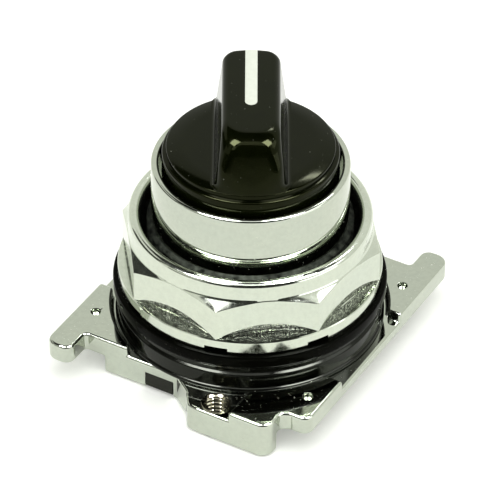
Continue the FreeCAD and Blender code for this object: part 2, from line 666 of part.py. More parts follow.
def pin_solids(name):
    """Two short cross pins that lock the cam to the shaft, one each side of the screw."""
    pins = []
    for index in range(2):
        pin = doc.addObject("Part::Cylinder", f"{name}{index}")
        bind(pin, Radius="pin_radius", Height=span("screw_radius + 0.2", "pin_half"))
        lying = FreeCAD.Rotation(FreeCAD.Vector(0, 0, 1), ball_angle() + 180 * index).multiply(
            FreeCAD.Rotation(FreeCAD.Vector(0, 1, 0), 90))
        start = lying.multVec(FreeCAD.Vector(0, 0, size("screw_radius") + 0.2))
        pin.Placement = FreeCAD.Placement(start + FreeCAD.Vector(0, 0, size("pin_height")), lying)
        pins.append(pin)
    return group(name, *pins)


def polar(radius, degrees, height=0.0):
    angle = math.radians(degrees)
    return FreeCAD.Vector(radius * math.cos(angle), radius * math.sin(angle), height)


def detent():
    race = ring("race", "detent_outer", "detent_inner", "detent_bottom", "carrier_top")
    pockets = []
    for index, degrees in enumerate((0, 180, -THROW, 180 - THROW)):
        pocket_tool = doc.addObject("Part::Cylinder", f"ball_pocket{index}")
        bind(pocket_tool, Radius="detent_pocket")
        pocket_tool.Height = 10
        where = polar(size("detent_inner") - 0.4, ball_angle() + degrees, size("detent_bottom") - 1)
        pocket_tool.Placement.Base = where
        pockets.append(pocket_tool)
    finish(cut("race_cut", race, fuse("ball_pockets", *pockets)), "detent_ring")
    balls = []
    for index in range(2):
        ball = doc.addObject("Part::Sphere", f"ball{index}")
        bind(ball, Radius="ball_radius")
        ball.Placement.Base = polar(size("ball_centre"), ball_angle() + 180 * index, size("ball_height"))
        balls.append(ball)
    finish(group("Balls", *balls), "detent_balls")
    pins = []
    reach = size("dog_width") / 2 + size("stop_radius") + 0.15
    half_turn = math.degrees(math.asin(reach / size("stop_circle")))
    for index, degrees in enumerate((half_turn, -THROW - half_turn)):
        pin = doc.addObject("Part::Cylinder", f"stop{index}")
        bind(pin, Radius="stop_radius", Height="web_bottom - stop_bottom")
        pin.Placement.Base = polar(size("stop_circle"), dog_angle() + degrees, size("stop_bottom"))
        pins.append(pin)
    finish(group("Stops", *pins), "stop_pins")


# ---------- springs ----------

def coil(node, mean_radius, wire, low, high, turns, placement):
    """A helical spring along Z from low to high, as a Part::Feature."""
    rise = high - low - 2 * wire
    path = Part.makeHelix(rise / turns, rise, mean_radius)
    along = FreeCAD.Vector(0, 2 * math.pi * mean_radius * turns, rise)
    start = Part.Wire(Part.makeCircle(wire, FreeCAD.Vector(mean_radius, 0, 0), along))
    solid = Part.Wire(path).makePipeShell([start], True, True)
    item = doc.addObject("Part::Feature", node)
    item.Shape = solid
    foot = FreeCAD.Placement(FreeCAD.Vector(0, 0, low + wire), FreeCAD.Rotation())
    item.Placement = placement.multiply(foot)
    return item


def springs():
    for side, low_end in (("left", 0.0), ("right", cam_travel())):
        x = -size("plunger_circle") if side == "left" else size("plunger_circle")
        spot = FreeCAD.Placement(FreeCAD.Vector(x, 0, 0), FreeCAD.Rotation())
        top = size("plunger_collar_low") + low_end - 0.03
        foot = size("guide_top") + 0.03
        item = coil(f"Spring_{side}", size("spring_coil"), size("spring_wire"), foot, top,
                    COIL_TURNS, spot)
        finish(item, f"plunger_spring_{side}")
    inner = size("ball_centre") - size("ball_radius") - 0.05
    lying = FreeCAD.Rotation(FreeCAD.Vector(0, 0, 1), ball_angle()).multiply(
        FreeCAD.Rotation(FreeCAD.Vector(0, 1, 0), 90))
    centre = FreeCAD.Vector(0, 0, size("ball_height"))
    pair = []
    seat = size("shaft_radius") + 0.05
    for index, (low, high) in enumerate(((seat, inner), (-inner, -seat))):
        spot = FreeCAD.Placement(centre, lying)
        pair.append(coil(f"Detent_{index}", size("detent_coil"), size("detent_wire"), low, high,
                         COIL_TURNS, spot))
    finish(group("DetentSprings", *pair), "detent_springs")


# ---------- plungers and their guide ----------

def cam_travel():
    """How far each plunger moves over the throw; the two plungers rest this far apart in height."""
    rise = size("plunger_circle") * math.tan(math.radians(size("cam_tilt")))
    return rise * 2 * math.cos(math.radians(THROW))


def plungers():
    tilt = math.radians(size("cam_tilt"))
    slope = size("plunger_circle") * math.tan(tilt) * math.cos(math.radians(THROW))
    dome = size("cam_mid") - slope - size("plunger_radius") / math.cos(tilt) - size("plunger_play")
    for side, lift in (("left", 0.0), ("right", cam_travel())):
        x = "- plunger_circle" if side == "left" else "plunger_circle"
        body = new_body(f"Plunger_{side}")
        revolve(body, f"stem_{side}", [
            ("0", "plunger_bottom"), ("plunger_radius", "plunger_bottom"),
            ("plunger_radius", "plunger_collar_low"), ("plunger_collar", "plunger_collar_low"),
            ("plunger_collar", "plunger_collar_low + plunger_collar_thick"),
            ("plunger_radius", "plunger_collar_low + plunger_collar_thick"),
            ("plunger_radius", f"{dome}"), ("0", f"{dome}")])
        doc.recompute()
        tip = doc.addObject("Part::Sphere", f"tip_{side}")
        bind(tip, Radius="plunger_radius")
        tip.Placement.Base = FreeCAD.Vector(0, 0, dome)
        whole = fuse(f"plunger_solid_{side}", body, tip)
        whole.Placement.Base = FreeCAD.Vector(0, 0, lift)
        bind(whole, Placement__Base__x=x)
        finish(whole, f"plunger_{side}")


def guide():
    body = new_body("Guide")
    flange = sketch_on(body, "guide_outline", "XY_Plane", "guide_bottom")
    tab = "- front_line"
    half = [("- guide_half_x", "- guide_half_y"), ("- window_far + guide_gap", "- guide_half_y"),
            ("- window_far + guide_gap", tab), ("- window_near - guide_gap", tab),
            ("- window_near - guide_gap", "- guide_half_y"), ("guide_half_x", "- guide_half_y")]
    outline(flange, both_halves(half))
    pad(body, "guide_flange", flange, "guide_flange_top - guide_bottom")
    doc.recompute()
    plug = sketch_on(body, "guide_plug_outline", "XY_Plane", "guide_bottom")
    circle(plug, "guide_plug")
    pad(body, "guide_plug_pad", plug, "guide_top - guide_bottom")
    doc.recompute()
    bores = sketch_on(body, "guide_bore_outline", "XY_Plane")
    circle(bores, "plunger_bore", "plunger_circle")
    circle(bores, "plunger_bore", "- plunger_circle")
    circle(bores, "screw_head + 0.6")
    for x in ("fixing_x", "- fixing_x"):
        for y in ("fixing_y", "- fixing_y"):
            circle(bores, "fixing_radius + 0.1", x, y)
    pocket(body, "guide_bores", bores, "guide_top + 1", upward=True)
    finish(body, "plunger_guide")
    screws = []
    for index, (x, y) in enumerate((("fixing_x", "fixing_y"), ("- fixing_x", "fixing_y"),
                                    ("fixing_x", "- fixing_y"), ("- fixing_x", "- fixing_y"))):
        stem = cylinder(f"fixing_stem{index}", "fixing_radius", "guide_bottom", "plate_bottom + 1.7", x, y)
        head = cylinder(f"fixing_head{index}", "fixing_head", "fixing_base", "guide_bottom", x, y)
        slot = doc.addObject("Part::Box", f"fixing_slot{index}")
        bind(slot, Length="fixing_head + fixing_head", Width="fixing_slot", Height="fixing_slot_depth")
        place(slot, f"{x} - fixing_head", f"{y} - {size('fixing_slot') / 2}", "fixing_base")
        screws.append(cut(f"fixing{index}", fuse(f"fixing_blank{index}", stem, head), slot))
    finish(group("Fixings", *screws), "guide_screws")


housing()
gaskets()
mounting_nut()
inserts()
knob()
indicator()
shaft()
shaft_hardware()
cam_rotor()
finish(pin_solids("CamPins"), "cam_pins")
detent()
springs()
plungers()
guide()

doc.recompute()
for item in doc.Objects:
    assert not {"Invalid", "Error"} & set(item.State), f"{item.Label} failed: {item.State}"
for item in parts:
    assert not item.Shape.isNull() and item.Shape.isValid(), f"{item.Label} has no valid shape"

os.makedirs("parts", exist_ok=True)
for item in parts:
    item.Shape.exportStep(f"parts/{item.Label}.step")
    print(item.Label, len(item.Shape.Solids), round(item.Shape.Volume, 1))
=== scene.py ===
import math

import bmesh
import bpy
from mathutils import Matrix, Vector


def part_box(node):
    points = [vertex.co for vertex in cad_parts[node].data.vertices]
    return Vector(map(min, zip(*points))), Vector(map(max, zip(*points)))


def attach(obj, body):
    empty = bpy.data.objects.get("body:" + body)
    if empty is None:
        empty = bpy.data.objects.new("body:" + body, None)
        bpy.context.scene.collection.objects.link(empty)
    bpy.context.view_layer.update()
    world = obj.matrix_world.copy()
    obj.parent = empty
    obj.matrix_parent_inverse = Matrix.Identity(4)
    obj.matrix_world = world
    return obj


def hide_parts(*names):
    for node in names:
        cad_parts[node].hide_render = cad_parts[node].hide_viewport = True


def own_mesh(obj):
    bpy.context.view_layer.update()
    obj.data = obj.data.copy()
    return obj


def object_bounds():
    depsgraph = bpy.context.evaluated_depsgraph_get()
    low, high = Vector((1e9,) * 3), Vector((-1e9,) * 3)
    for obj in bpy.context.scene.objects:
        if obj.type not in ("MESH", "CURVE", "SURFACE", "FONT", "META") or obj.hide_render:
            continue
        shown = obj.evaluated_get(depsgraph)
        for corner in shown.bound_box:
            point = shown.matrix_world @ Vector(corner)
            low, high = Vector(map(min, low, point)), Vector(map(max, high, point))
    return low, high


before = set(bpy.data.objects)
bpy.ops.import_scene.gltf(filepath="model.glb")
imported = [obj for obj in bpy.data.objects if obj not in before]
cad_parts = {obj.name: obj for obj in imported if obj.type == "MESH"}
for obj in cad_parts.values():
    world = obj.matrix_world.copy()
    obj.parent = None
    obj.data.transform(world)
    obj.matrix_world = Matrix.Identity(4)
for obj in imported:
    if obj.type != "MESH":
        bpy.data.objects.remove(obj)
cad_low, cad_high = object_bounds()

# Lengths are millimetres, and MM turns them into metres where a mesh is made. The stage is in metres.
MM = 0.001


def low(node):
    return [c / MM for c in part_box(node)[0]]


def high(node):
    return [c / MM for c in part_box(node)[1]]


# ---------- heights and radii, read from the frame ----------
SKIRT_Z = low("operator_housing")[2]
PLATE_HALF = high("operator_housing")[0]
BUMP_LINE = high("operator_housing")[1]
COLLAR_TOP = high("operator_housing")[2]
GASKET_Z = low("panel_gasket")[2]
NUT_Z = low("mounting_nut")[2]
NUT_TOP = high("mounting_nut")[2]
KNOB_TOP = high("knob")[2]
KNOB_BOTTOM = low("knob")[2]
GASKET_R = high("panel_gasket")[0]
BOOT_R = high("boss_boot")[0]
BOOT_Z = low("boss_boot")[2]
BOOT_TOP = high("boss_boot")[2]

# ---------- the plate's own measures ----------
FRONT_LINE = 19.0
CORNER_LINE = 19.6
EAR_TIP = 23.4
EAR_INNER = 16.6
BUMP_RIGHT = 16.7
JOG_LEFT = 1.3
JOG_RIGHT = 4.4
PLATE_BOTTOM = 2.8
PLATE_TOP = 4.5
PAD_TOP = 5.9
PAD_RING = 20.3
PAD_LEFT = (-9.6, -7.8)
PAD_RIGHT = (10.2, -9.5)
SKIRT_WALL = 1.6
SKIRT_END = 13.5
WINDOW = (-6.5, -1.8)
INSERT_XY = (6.9, -21.5)
INSERT_R = 2.2
DIMPLES = ((18.2, -15.0), (-17.9, -14.0))
DIMPLE_R = 0.75
DIMPLE_DEPTH = 0.7
EDGE_ROUND = 0.45
FINE_EDGE = 0.1
OVERRUN = 4

# ---------- boss, bushing, nut and knob ----------
BOSS_R = 18.9
BOSS_TOP = 8.2
THREAD_R = 15.0
THREAD_MINOR = 14.2
THREAD_PITCH = 1.5
THREAD_END = 21.6
COLLAR_R = 14.3
BORE_R = 13.2
BORE_FLOOR = 25.5
WEB_BOTTOM = 22.5
CAVITY_R = 12.6
BUSH_R = 5.0
FLANGE_R = 19.3
NUT_SIDES = 8
SIDE_ANGLE = 360.0 / NUT_SIDES
NUT_APOTHEM = FLANGE_R * math.cos(math.radians(SIDE_ANGLE / 2))
COLUMN_STEP = 0.75
FLANGE_TOP = 13.4
LENS_TOP = 15.5
LENS_DEPTH = 0.34
LEDGE_SHARE = 0.55
NUT_APEX = 18.5
NUT_LIP = 0.8
CONE_RISE = 0.95
CONE_SLOPE = 1.14
NUT_TURN = 15.3
NUT_COLLAR = 17.7
NUT_RECESS = 16.0
NUT_RECESS_FLOOR = 19.4
NUT_BORE = 15.05
NOTCH_HALF = 1.7
NOTCH_DEPTH = 0.75
NOTCH_ANGLE = math.degrees(math.asin(NOTCH_HALF / FLANGE_R))
REST_TURN = 29.8
KNOB_R = 12.7
KNOB_RIM = 12.1
KNOB_SHOULDER = 33.2
KNOB_WALL = 1.6
KNOB_CEILING = 32.2
HUB_R = 5.5
HUB_BOTTOM = 28.0
SCREW_HOLE_R = 2.0
DISC_TOP = 34.4
GRIP_FOOT = 5.1
GRIP_TOP = 4.05
GRIP_FRONT = 12.05
LINE_HALF = 0.9
LINE_FRONT = 1.7
GRIP_BACK_CORNER = 1.6
BACK_CORNER_FOOT = 0.9
FRONT_CORNER_FOOT = 1.0
FRONT_CORNER_GAIN = 2.3
NOSE_ROUND = 3.0
NOSE_SLOPE = 13.5
SIDE_ROUND = 0.9
FLARE = 0.9
FLARE_SPREAD = 0.62
DOME_START = 9.2
DOME_DROP = 0.36
BACK_ROUND = 0.6
FLARE_STEPS = 9
SIDE_STEPS = 16
NOSE_STEPS = 26

# ---------- inserts: a cut thread inside ----------
INSERT_PITCH = 0.7
INSERT_MINOR = 1.62
INSERT_DEPTH = 0.26
INSERT_FADE = 0.25

# ---------- how finely round pieces are divided ----------
BUSHING_STEPS = 288
RING_STEPS = 256
INSERT_STEPS = 72
INSERT_ROWS = 128


# =====================================================================
# mesh helpers
# =====================================================================

def new_piece(name, points, faces, material, body, smooth, replaces):
    """A mesh object in the row frame from points in millimetres."""
    mesh = bpy.data.meshes.new(name)
    mesh.from_pydata([tuple(c * MM for c in p) for p in points], [], faces)
    mesh.validate()
    piece = bpy.data.objects.new(name, mesh)
    bpy.context.scene.collection.objects.link(piece)
    return dress(piece, material, body, smooth, replaces)


def dress(piece, material, body, smooth, replaces):
    """Gives a piece its materials, shading, body and replaced nodes."""
    materials = material if isinstance(material, (list, tuple)) else [material]
    for entry in materials:
        piece.data.materials.append(entry)
    shade(piece, smooth)
    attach(piece, body)
    if replaces:
        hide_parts(*replaces)
    return piece


def shade(piece, degrees):
    """Smooth shading, with edges sharper than the given angle kept sharp."""
    mesh = piece.data
    mesh.polygons.foreach_set("use_smooth", [True] * len(mesh.polygons))
    mesh.set_sharp_from_angle(angle=math.radians(degrees))


def arc(centre, radius, start, end, steps):
    """Points on an arc, angles in degrees."""
    points = []
    for i in range(steps + 1):
        a = math.radians(start + (end - start) * i / steps)
        points.append((centre[0] + radius * math.cos(a), centre[1] + radius * math.sin(a)))
    return points


def rounded(points, radii, steps):
    """Rounds the corners of a closed outline; radii holds one radius per corner, and 0 leaves it sharp."""
    out = []
    count = len(points)
    for i, radius in enumerate(radii):
        p, q, r = (Vector(points[(i + k) % count]) for k in (-1, 0, 1))
        if radius <= 0:
            out.append(tuple(q))
            continue
        a, b = (p - q).normalized(), (r - q).normalized()
        angle = a.angle(b)
        reach = radius / math.tan(angle / 2)
        reach = min(reach, (p - q).length * 0.49, (r - q).length * 0.49)
        radius = reach * math.tan(angle / 2)
        start, end = q + a * reach, q + b * reach
        middle = q + (a + b).normalized() * (radius / math.sin(angle / 2))
        u, v = start - middle, end - middle
        for k in range(steps + 1):
            out.append(tuple(middle + slerp(u, v, k / steps)))
    return out


def slerp(u, v, t):
    """A vector part of the way from u to v, turning at a steady rate."""
    angle = u.angle(v)
    if angle < 1e-6:
        return u.lerp(v, t)
    return (u * math.sin((1 - t) * angle) + v * math.sin(t * angle)) / math.sin(angle)


def lathe(profile, steps, wave=None):
    """Points and faces of a closed profile of (radius, height) turned about Z.
    wave(angle, radius, height) may move a ring point to another (radius, height)."""
    points, faces = [], []
    count = len(profile)
    for s in range(steps):
        a = 2 * math.pi * s / steps
        for radius, height in profile:
            if wave:
                radius, height = wave(a, radius, height)
            points.append((radius * math.cos(a), radius * math.sin(a), height))
    for s in range(steps):
        t = (s + 1) % steps
        for k in range(count):
            m = (k + 1) % count
            faces.append((s * count + k, s * count + m, t * count + m, t * count + k))
    return points, faces


def prism(name, outline, z0, z1):
    """A closed upright prism from an outline in millimetres, as an object."""
    mesh = bpy.data.meshes.new(name)
    count = len(outline)
    area = sum(outline[i][0] * outline[(i + 1) % count][1] - outline[(i + 1) % count][0] * outline[i][1]
               for i in range(count))
    if area < 0:
        outline = outline[::-1]
    points = [(x * MM, y * MM, z * MM) for z in (z0, z1) for x, y in outline]
    faces = [tuple(range(count))[::-1], tuple(range(count, 2 * count))]
    faces += [(i, (i + 1) % count, count + (i + 1) % count, count + i) for i in range(count)]
    mesh.from_pydata(points, [], faces)
    piece = bpy.data.objects.new(name, mesh)
    bpy.context.scene.collection.objects.link(piece)
    return piece


def carve(piece, tools):
    """Cuts the tools out of a piece and deletes them."""
    for tool in tools:
        step = piece.modifiers.new("cut", "BOOLEAN")
        step.operation = "DIFFERENCE"
        step.solver = "EXACT"
        step.object = tool
        apply_modifiers(piece)
        bpy.data.objects.remove(tool)


def apply_modifiers(piece):
    """Swaps a piece's mesh for the one its modifiers make."""
    graph = bpy.context.evaluated_depsgraph_get()
    mesh = bpy.data.meshes.new_from_object(piece.evaluated_get(graph))
    piece.modifiers.clear()
    old = piece.data
    piece.data = mesh
    bpy.data.meshes.remove(old)


def bevel(piece, width, segments, angle):
    """Rounds a piece's edges that are sharper than the angle, in degrees."""
    work = bmesh.new()
    work.from_mesh(piece.data)
    bmesh.ops.remove_doubles(work, verts=work.verts, dist=0.004 * MM)
    bmesh.ops.dissolve_limit(work, angle_limit=math.radians(0.4), verts=work.verts, edges=work.edges)
    work.to_mesh(piece.data)
    work.free()
    step = piece.modifiers.new("bevel", "BEVEL")
    step.width = width * MM
    step.segments = segments
    step.limit_method = "ANGLE"
    step.angle_limit = math.radians(angle)
    step.harden_normals = False
    step.use_clamp_overlap = False
    apply_modifiers(piece)


def both(points):
    """An outline and its copy half a turn round, joined end to end."""
    return points + [(-x, -y) for x, y in points]


# =====================================================================
# materials
# =====================================================================

class Nodes:
    """A short way to build one principled material."""

    def __init__(self, name):
        self.material = bpy.data.materials.new(name)
        self.material.use_nodes = True
        self.tree = self.material.node_tree
        self.shader = self.tree.nodes["Principled BSDF"]
        self.place = self.tree.nodes.new("ShaderNodeTexCoord").outputs["Object"]

    def set(self, **sockets):
        for name, amount in sockets.items():
            self.shader.inputs[name.replace("_", " ")].default_value = amount

    def link(self, source, name):
        self.tree.links.new(source, self.shader.inputs[name])

    def noise(self, scale, detail=4.0, rough=0.55):
        node = self.tree.nodes.new("ShaderNodeTexNoise")
        node.inputs["Scale"].default_value = scale
        node.inputs["Detail"].default_value = detail
        node.inputs["Roughness"].default_value = rough
        self.tree.links.new(self.place, node.inputs["Vector"])
        return node.outputs["Fac"]

    def ramp(self, source, stops):
        """A colour ramp; stops are (position, grey or colour)."""
        node = self.tree.nodes.new("ShaderNodeValToRGB")
        ramp = node.color_ramp
        while len(ramp.elements) < len(stops):
            ramp.elements.new(0.5)
        for element, (position, shade_of) in zip(ramp.elements, stops):
            element.position = position
            tone = shade_of if isinstance(shade_of, tuple) else (shade_of,) * 3
            element.color = (*tone, 1.0)
        self.tree.links.new(source, node.inputs["Fac"])
        return node.outputs["Color"]

    def mix(self, kind, first, second, amount):
        """Blends two colours; each may be a socket or a colour."""
        node = self.tree.nodes.new("ShaderNodeMix")
        node.data_type = "RGBA"
        node.blend_type = kind
        sockets = (node.inputs[6], node.inputs[7], node.inputs[0])
        for socket, entry in zip(sockets, (first, second, amount)):
            if hasattr(entry, "links"):
                self.tree.links.new(entry, socket)
            else:
                socket.default_value = entry
        return node.outputs[2]

    def bump(self, height, strength, distance, after=None):
        """Small relief on the shader's normal, on top of an earlier bump if one is given."""
        node = self.tree.nodes.new("ShaderNodeBump")
        node.inputs["Strength"].default_value = strength
        node.inputs["Distance"].default_value = distance * MM
        self.tree.links.new(height, node.inputs["Height"])
        if after:
            self.tree.links.new(after, node.inputs["Normal"])
        self.tree.links.new(node.outputs["Normal"], self.shader.inputs["Normal"])
        return node.outputs["Normal"]


def chrome(name, tint=(0.50, 0.53, 0.46), rough=0.04, ripple=0.07, dust=0.0):
    """Bright plate with a faint haze, fine ripple and, where asked, specks of pale dust."""
    m = Nodes(name)
    fine = m.ramp(m.noise(1400, 5, 0.7), [(0.3, tuple(c * 0.92 for c in tint)), (0.62, tint)])
    broad = m.ramp(m.noise(90, 3, 0.5), [(0.3, (0.94, 0.95, 0.95)), (0.7, (0.99, 0.99, 0.97))])
    tone = m.mix("MULTIPLY", fine, broad, 1.0)
    haze = m.ramp(m.noise(900, 6, 0.7), [(0.35, rough * 0.6), (0.75, rough * 2.2)])
    specks = m.ramp(m.noise(2300, 4, 0.7), [(0.70 - dust, 0.0), (0.73 - dust, 1.0)])
    m.link(m.mix("MIX", tone, (0.75, 0.78, 0.68, 1), specks), "Base Color")
    m.link(m.mix("MIX", haze, (0.6, 0.6, 0.6, 1), specks), "Roughness")
    m.link(m.ramp(specks, [(0.0, 1.0), (1.0, 0.0)]), "Metallic")
    first = m.bump(m.noise(260, 3), ripple * 0.6, 0.015)
    m.bump(m.noise(2600, 4, 0.7), ripple * 0.9, 0.004, first)
    return m.material


def cast_chrome(name):
    """Chrome over an unmachined casting: coarse, sparkling pits."""
    m = Nodes(name)
    m.set(Metallic=1.0)
    grain = m.noise(3600, 5, 0.7)
    m.link(m.ramp(grain, [(0.44, (0.02, 0.022, 0.018)), (0.66, (0.62, 0.65, 0.57))]), "Base Color")
    m.link(m.ramp(m.noise(1500, 4), [(0.3, 0.10), (0.7, 0.30)]), "Roughness")
    m.bump(grain, 0.8, 0.05)
    return m.material


def painted_thread_shade(name):
    """Near-black metal as painted shade for the threads and for the nut's recess and bore, where shade
    falls.
    """
    m = Nodes(name)
    m.set(Metallic=1.0)
    tone = m.ramp(m.noise(900, 5), [(0.35, (0.003, 0.0035, 0.0028)), (0.75, (0.032, 0.036, 0.028))])
    m.link(tone, "Base Color")
    m.link(m.ramp(m.noise(1500, 4), [(0.3, 0.5), (0.7, 0.75)]), "Roughness")
    m.bump(m.noise(2200, 4), 0.4, 0.02)
    return m.material


def glossy_black(name):
    """Polished black thermoset with fine specks of dust."""
    m = Nodes(name)
    tone = m.ramp(m.noise(400, 4), [(0.3, (0.0012, 0.0018, 0.0002)), (0.75, (0.0026, 0.0036, 0.0005))])
    specks = m.ramp(m.noise(2700, 3, 0.55), [(0.73, 0.0), (0.76, 1.0)])
    m.link(m.mix("MIX", tone, (0.30, 0.31, 0.27, 1), specks), "Base Color")
    m.link(m.ramp(m.noise(700, 5, 0.6), [(0.3, 0.07), (0.75, 0.15)]), "Roughness")
    m.set(IOR=1.5, Specular_IOR_Level=0.115, Specular_Tint=(0.92, 1.0, 0.50, 1.0))
    m.bump(m.noise(1500, 4, 0.6), 0.1, 0.008)
    return m.material


def rubber(name, gloss):
    """Black rubber with pale specks of dust; gloss is its specular level."""
    m = Nodes(name)
    tone = m.ramp(m.noise(600, 5, 0.65),
                  [(0.3, (0.0008, 0.0009, 0.0006)), (0.72, (0.002, 0.0021, 0.0014))])
    dust = m.ramp(m.noise(3600, 3, 0.6), [(0.70, 0.0), (0.76, 1.0)])
    m.link(m.mix("MIX", tone, (0.08, 0.08, 0.065, 1), dust), "Base Color")
    m.link(m.ramp(m.noise(900, 5), [(0.3, 0.08), (0.7, 0.16)]), "Roughness")
    m.set(Specular_IOR_Level=gloss, Specular_Tint=(0.95, 1.0, 0.85, 1.0))
    m.bump(m.noise(1800, 5, 0.7), 0.2, 0.012)
    return m.material


def moulded(name):
    """Dull black moulded plastic."""
    m = Nodes(name)
    tone = m.ramp(m.noise(500, 4), [(0.3, (0.006, 0.0065, 0.003)), (0.7, (0.012, 0.013, 0.006))])
    m.link(tone, "Base Color")
    m.link(m.ramp(m.noise(1200, 4), [(0.3, 0.33), (0.7, 0.5)]), "Roughness")
    m.set(Specular_IOR_Level=0.2)
    m.bump(m.noise(2800, 3), 0.3, 0.015)
    return m.material


def white_inlay(name):
    """Satin white plastic, slightly uneven."""
    m = Nodes(name)
    tone = m.ramp(m.noise(900, 5, 0.6), [(0.3, (0.74, 0.77, 0.69)), (0.7, (0.82, 0.85, 0.77))])
    m.link(tone, "Base Color")
    m.link(m.ramp(m.noise(700, 3), [(0.3, 0.35), (0.7, 0.5)]), "Roughness")
    m.bump(m.noise(1600, 3), 0.2, 0.01)
    return m.material


def machined(name, light, dark, rough=0.28):
    """Turned metal with a fine lay."""
    m = Nodes(name)
    m.set(Metallic=1.0)
    m.link(m.ramp(m.noise(800, 5), [(0.3, dark), (0.7, light)]), "Base Color")
    m.link(m.ramp(m.noise(1500, 4), [(0.3, rough * 0.7), (0.7, rough * 1.3)]), "Roughness")
    m.bump(m.noise(3000, 4), 0.25, 0.01)
    return m.material


CHROME = chrome("chrome_plate", dust=0.03)
NUT_CHROME = chrome("nut_chrome_plate", (0.60, 0.635, 0.55), rough=0.10)
CAST = cast_chrome("chrome_on_casting")
# Painted shade: near-black metal for the threads and the nut's recess and bore.
THREAD_SHADE = painted_thread_shade("thread_painted_shade")
BLACK = glossy_black("knob_black_plastic")
RUBBER = rubber("gasket_rubber", 0.02)
BOOT = rubber("boot_rubber", 0.22)
MOULDED = moulded("moulded_black_plastic")
WHITE = white_inlay("white_line_plastic")
STEEL = machined("zinc_plated_steel", (0.66, 0.67, 0.66), (0.5, 0.51, 0.5))
BRASS = machined("bush_brass", (0.80, 0.62, 0.33), (0.62, 0.46, 0.22))
INSERT = machined("plated_insert", (0.32, 0.31, 0.24), (0.13, 0.12, 0.08), 0.09)


# =====================================================================
# base plate
# =====================================================================

def plate_outline():
    """The plate from above, ears, jogs and bumps, the same after half a turn."""
    front = [(-PLATE_HALF, -EAR_TIP), (-EAR_INNER, -EAR_TIP), (-EAR_INNER, -FRONT_LINE),
             (-JOG_LEFT, -FRONT_LINE), (-JOG_LEFT + 3.1, -FRONT_LINE - 2.3),
             (JOG_RIGHT - 1.0, -BUMP_LINE + 0.2), (JOG_RIGHT + 0.6, -BUMP_LINE),
             (BUMP_RIGHT, -BUMP_LINE), (BUMP_RIGHT, -CORNER_LINE - 0.6),
             (BUMP_RIGHT + 1.2, -CORNER_LINE), (PLATE_HALF, -CORNER_LINE)]
    radii = [1.9, 1.5, 0.6, 1.6, 1.3, 1.1, 1.3, 1.85, 0.9, 0.9, 1.6]
    return rounded(both(front), radii + radii, 6)


def lowered_cross():
    """What is cut down to the plate's top, which leaves the raised pads."""
    out = PLATE_HALF + OVERRUN
    wide = BUMP_LINE + OVERRUN
    return both([(-out, PAD_LEFT[1]), PAD_LEFT, (PAD_LEFT[0], -wide),
                 (PAD_RIGHT[0], -wide), PAD_RIGHT, (out, PAD_RIGHT[1])])


def skirt_hollow():
    """What is cut from under the plate, which leaves the skirts standing."""
    out = PLATE_HALF + OVERRUN
    wide = BUMP_LINE + OVERRUN
    insert_side = INSERT_XY[0] + 3.6
    return both([(-out, -wide), (-SKIRT_END, -wide), (-SKIRT_END, -FRONT_LINE + SKIRT_WALL),
                 (insert_side, -FRONT_LINE + SKIRT_WALL), (insert_side, -BUMP_LINE + SKIRT_WALL),
                 (BUMP_RIGHT - SKIRT_WALL, -BUMP_LINE + SKIRT_WALL),
                 (BUMP_RIGHT - SKIRT_WALL, -CORNER_LINE - 1.4), (out, -CORNER_LINE - 1.4)])


def window_box(sign):
    x0, x1 = WINDOW
    y0, y1 = -FRONT_LINE - 1, -FRONT_LINE + SKIRT_WALL + 1
    return [(sign * x, sign * y) for x, y in ((x0, y0), (x1, y0), (x1, y1), (x0, y1))]


def disc(centre, radius, steps):
    return arc(centre, radius, 0, 360 * (steps - 1) / steps, steps - 1)


def make_plate():
    plate = prism("base_plate", plate_outline(), SKIRT_Z, PAD_TOP)
    carve(plate, [prism("low", lowered_cross(), PLATE_TOP, PAD_TOP + 2),
                  prism("ring", disc((0, 0), PAD_RING, 192), PLATE_TOP - 0.0001, PAD_TOP + 1),
                  prism("under", skirt_hollow(), SKIRT_Z - 2, PLATE_BOTTOM)])
    bevel(plate, EDGE_ROUND, 4, 28)
    tools = [prism("bore", disc((0, 0), CAVITY_R, 144), SKIRT_Z - 3, PAD_TOP + 3)]
    for sign in (1, -1):
        tools.append(prism("window", window_box(sign), SKIRT_Z - 1, PLATE_BOTTOM - 0.001))
        hole = disc((sign * INSERT_XY[0], sign * INSERT_XY[1]), INSERT_R + 0.02, 64)
        tools.append(prism("insert", hole, SKIRT_Z - 2, PAD_TOP + 4))
        for x, y in DIMPLES:
            mark = disc((sign * x, sign * y), DIMPLE_R, 32)
            tools.append(prism("dimple", mark, PAD_TOP - DIMPLE_DEPTH, PAD_TOP + 2))
    carve(plate, tools)
    bevel(plate, FINE_EDGE, 2, 40)
    dress(plate, CHROME, "housing", 40, ())
    step = plate.modifiers.new("even_normals", "WEIGHTED_NORMAL")
    step.keep_sharp = True
    apply_modifiers(plate)
    return plate


